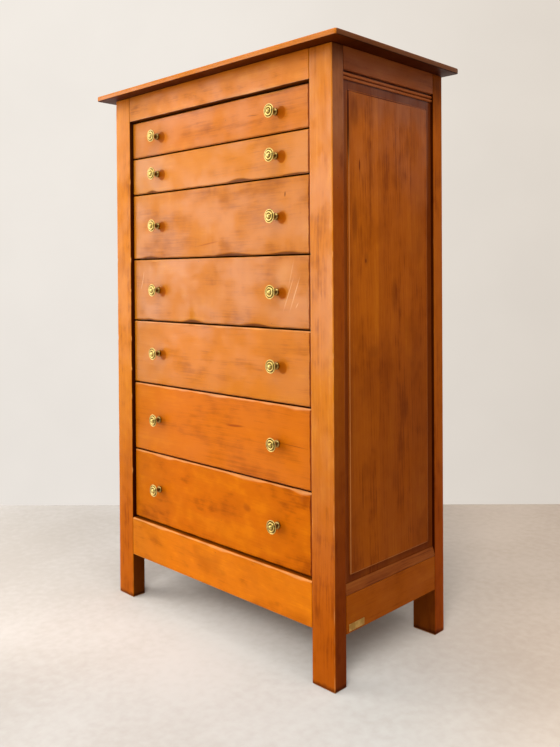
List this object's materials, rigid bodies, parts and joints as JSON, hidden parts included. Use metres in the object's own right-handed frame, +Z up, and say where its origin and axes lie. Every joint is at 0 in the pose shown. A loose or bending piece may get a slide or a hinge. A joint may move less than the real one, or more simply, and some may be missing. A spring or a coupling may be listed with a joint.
{
  "type": "semainier",
  "caption": "Tall narrow chest of drawers in polished wood on square posts, shallow drawers over deep ones, with turned brass knobs and raised side panels.",
  "frame": {"origin": "on the floor, under the middle of the top board", "axes": "+Z up, the drawers open towards -Y, +X to the right of someone who stands in front of the drawers"},
  "size_m": [0.9, 0.43, 1.36],
  "materials": {
    "polished_wood": "satin varnish, orange brown, worn along the edges",
    "plain_wood": "bare planed wood",
    "back_wood": "thin stained board",
    "brass": "polished and slightly aged"
  },
  "bodies": {
    "carcass": {"top_board": "polished_wood", "frieze_rail": "polished_wood", "apron_rail": "polished_wood", "back_top_rail": "polished_wood", "back_bottom_rail": "polished_wood", "back_panel": "back_wood", "front_post_left": "polished_wood", "rear_post_left": "polished_wood", "side_top_rail_left": "polished_wood", "side_bottom_rail_left": "polished_wood", "side_panel_left": "polished_wood", "upper_moulding_left": "polished_wood", "lower_moulding_left": "polished_wood", "guide_board_left": "plain_wood", "front_post_right": "polished_wood", "rear_post_right": "polished_wood", "side_top_rail_right": "polished_wood", "side_bottom_rail_right": "polished_wood", "side_panel_right": "polished_wood", "upper_moulding_right": "polished_wood", "lower_moulding_right": "polished_wood", "guide_board_right": "plain_wood", "top_cleat_front": "plain_wood", "top_cleat_rear": "plain_wood", "brass_plate": "brass"},
    "drawer_1": {"drawer_1_front": "polished_wood", "drawer_1_box": "plain_wood", "drawer_1_bottom": "plain_wood", "drawer_1_knob_left": "brass", "drawer_1_knob_right": "brass"},
    "drawer_2": {"drawer_2_front": "polished_wood", "drawer_2_box": "plain_wood", "drawer_2_bottom": "plain_wood", "drawer_2_knob_left": "brass", "drawer_2_knob_right": "brass"},
    "drawer_3": {"drawer_3_front": "polished_wood", "drawer_3_box": "plain_wood", "drawer_3_bottom": "plain_wood", "drawer_3_knob_left": "brass", "drawer_3_knob_right": "brass"},
    "drawer_4": {"drawer_4_front": "polished_wood", "drawer_4_box": "plain_wood", "drawer_4_bottom": "plain_wood", "drawer_4_knob_left": "brass", "drawer_4_knob_right": "brass"},
    "drawer_5": {"drawer_5_front": "polished_wood", "drawer_5_box": "plain_wood", "drawer_5_bottom": "plain_wood", "drawer_5_knob_left": "brass", "drawer_5_knob_right": "brass"},
    "drawer_6": {"drawer_6_front": "polished_wood", "drawer_6_box": "plain_wood", "drawer_6_bottom": "plain_wood", "drawer_6_knob_left": "brass", "drawer_6_knob_right": "brass"},
    "drawer_7": {"drawer_7_front": "polished_wood", "drawer_7_box": "plain_wood", "drawer_7_bottom": "plain_wood", "drawer_7_knob_left": "brass", "drawer_7_knob_right": "brass"}
  },
  "joints": [
    {"name": "drawer_1_slide", "type": "slide", "parent": "carcass", "child": "drawer_1", "axis": [0, -1, 0], "range_m": [0, 0.28]},
    {"name": "drawer_2_slide", "type": "slide", "parent": "carcass", "child": "drawer_2", "axis": [0, -1, 0], "range_m": [0, 0.28]},
    {"name": "drawer_3_slide", "type": "slide", "parent": "carcass", "child": "drawer_3", "axis": [0, -1, 0], "range_m": [0, 0.28]},
    {"name": "drawer_4_slide", "type": "slide", "parent": "carcass", "child": "drawer_4", "axis": [0, -1, 0], "range_m": [0, 0.28]},
    {"name": "drawer_5_slide", "type": "slide", "parent": "carcass", "child": "drawer_5", "axis": [0, -1, 0], "range_m": [0, 0.28]},
    {"name": "drawer_6_slide", "type": "slide", "parent": "carcass", "child": "drawer_6", "axis": [0, -1, 0], "range_m": [0, 0.28]},
    {"name": "drawer_7_slide", "type": "slide", "parent": "carcass", "child": "drawer_7", "axis": [0, -1, 0], "range_m": [0, 0.28]}
  ]
}
